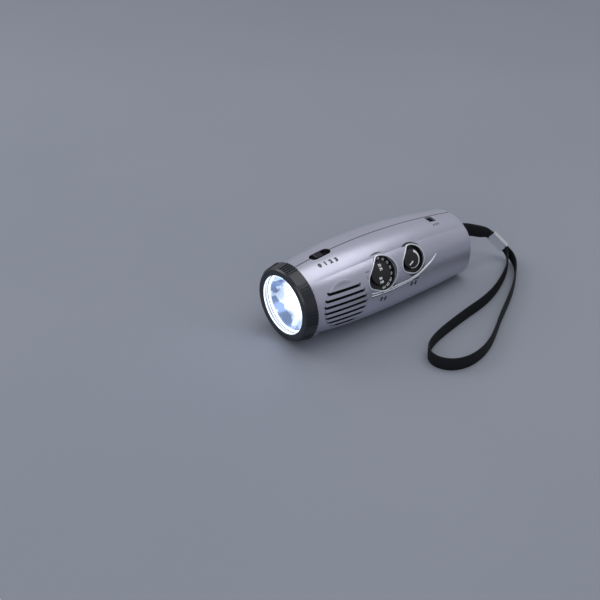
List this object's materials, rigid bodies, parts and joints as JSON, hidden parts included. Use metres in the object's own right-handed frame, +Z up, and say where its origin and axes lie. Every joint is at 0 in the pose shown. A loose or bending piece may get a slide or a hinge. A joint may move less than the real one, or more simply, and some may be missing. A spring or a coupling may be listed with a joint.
{
  "type": "hand crank flashlight",
  "caption": "Hand-cranked flashlight with a radio in its side: head ring and lens, speaker grille, two dials, mode switch, folding crank and gear train, wrist strap.",
  "frame": {"origin": "on the floor, under the middle of the rigid pieces", "axes": "+Z up; the lamp shines along -X and the strap leaves along +X; the dials and the speaker face -Y and the crank is on +Y"},
  "size_m": [0.2157, 0.1527, 0.0609],
  "materials": {
    "shell_silver": "satin silver lacquer on moulded plastic",
    "ring_grey": "fine moulded texture",
    "lens_clear": "polished clear plastic",
    "gasket_black": "matt",
    "housing_black": "matt",
    "chrome": "bright",
    "led_white": "clear, lit",
    "board_green": "solder mask",
    "steel": "plain",
    "screw_steel": "zinc plated",
    "cone_black": "paper",
    "magnet_dark": "sintered",
    "dial_silver": "satin silver lacquer",
    "part_cream": "moulded",
    "switch_black": "matt",
    "copper": "enamelled winding",
    "cell_green": "plain",
    "sleeve_blue": "shrunk film",
    "gear_white": "moulded",
    "brass_gear": "machined",
    "crank_silver": "satin silver lacquer on moulded plastic",
    "knob_dark": "fine moulded texture",
    "webbing_black": "woven"
  },
  "bodies": {
    "housing": {"control_shell": "shell_silver", "crank_shell": "shell_silver", "case_screws": "screw_steel", "lens_gasket": "gasket_black", "lamp_housing": "housing_black", "reflector": "chrome", "led_lamp": "led_white", "led_board": "board_green", "speaker_basket": "steel", "speaker_cone": "cone_black", "speaker_magnet": "magnet_dark", "tuning_capacitor": "part_cream", "volume_pot": "steel", "circuit_board": "board_green", "antenna_rod": "magnet_dark", "antenna_coil": "copper", "switch_body": "steel", "charge_jack": "switch_black", "battery_cells": "cell_green", "battery_sleeve": "sleeve_blue", "gear_plate": "steel", "idler_axle": "steel", "generator_yoke": "steel", "generator_coil": "copper", "strap_pin": "steel", "strap_small_loop": "webbing_black", "strap_ferrule": "chrome", "wrist_strap": "webbing_black"},
    "head_ring": {"head_ring": "ring_grey", "lens": "lens_clear"},
    "tuning_dial": {"tuning_dial": "dial_silver"},
    "volume_dial": {"volume_dial": "dial_silver"},
    "switch_knob": {"switch_knob": "switch_black"},
    "crank": {"crank_arm": "crank_silver", "crank_shaft": "steel", "crank_gear": "gear_white", "crank_screw": "screw_steel", "fold_pin": "steel"},
    "knob_spindle": {"knob_spindle": "steel"},
    "crank_knob": {"crank_knob": "knob_dark"},
    "idler": {"idler_gear": "gear_white"},
    "rotor": {"rotor_pinion": "brass_gear", "rotor_shaft": "steel", "rotor_magnet": "magnet_dark"}
  },
  "joints": [
    {"name": "head_ring_turn", "type": "hinge", "parent": "housing", "child": "head_ring", "pos_m": [-0.0782, -0.0052, 0.03], "axis": [1, 0, 0], "range_deg": [0, 35]},
    {"name": "tuning_turn", "type": "hinge", "parent": "housing", "child": "tuning_dial", "pos_m": [-0.0127, -0.0325, 0.0433], "axis": [0, -0.866, 0.5], "range_deg": [-90, 90]},
    {"name": "volume_turn", "type": "hinge", "parent": "housing", "child": "volume_dial", "pos_m": [0.0181, -0.0321, 0.0438], "axis": [0, -0.866, 0.5], "range_deg": [-270, 0]},
    {"name": "mode_slide", "type": "slide", "parent": "housing", "child": "switch_knob", "axis": [1, 0, 0], "range_m": [-0.0032, 0.0064]},
    {"name": "crank_turn", "type": "hinge", "parent": "housing", "child": "crank", "pos_m": [0.0388, 0.0282, 0.026], "axis": [0, 1, 0], "continuous": true},
    {"name": "knob_fold", "type": "hinge", "parent": "crank", "child": "knob_spindle", "pos_m": [-0.0087, 0.0335, 0.026], "axis": [0, 0, 1], "range_deg": [0, 90]},
    {"name": "knob_spin", "type": "hinge", "parent": "knob_spindle", "child": "crank_knob", "pos_m": [-0.0041, 0.0335, 0.026], "axis": [1, 0, 0], "continuous": true},
    {"name": "idler_spin", "type": "hinge", "parent": "housing", "child": "idler", "pos_m": [0.01963, 0.013, 0.03298], "axis": [0, 1, 0], "continuous": true},
    {"name": "rotor_spin", "type": "hinge", "parent": "housing", "child": "rotor", "pos_m": [0.00613, 0.0099, 0.03298], "axis": [0, 1, 0], "continuous": true}
  ],
  "couplings": [
    {"joint": "idler_spin", "follows": "crank_turn", "ratio": -4.6667},
    {"joint": "rotor_spin", "follows": "crank_turn", "ratio": 20.533}
  ]
}
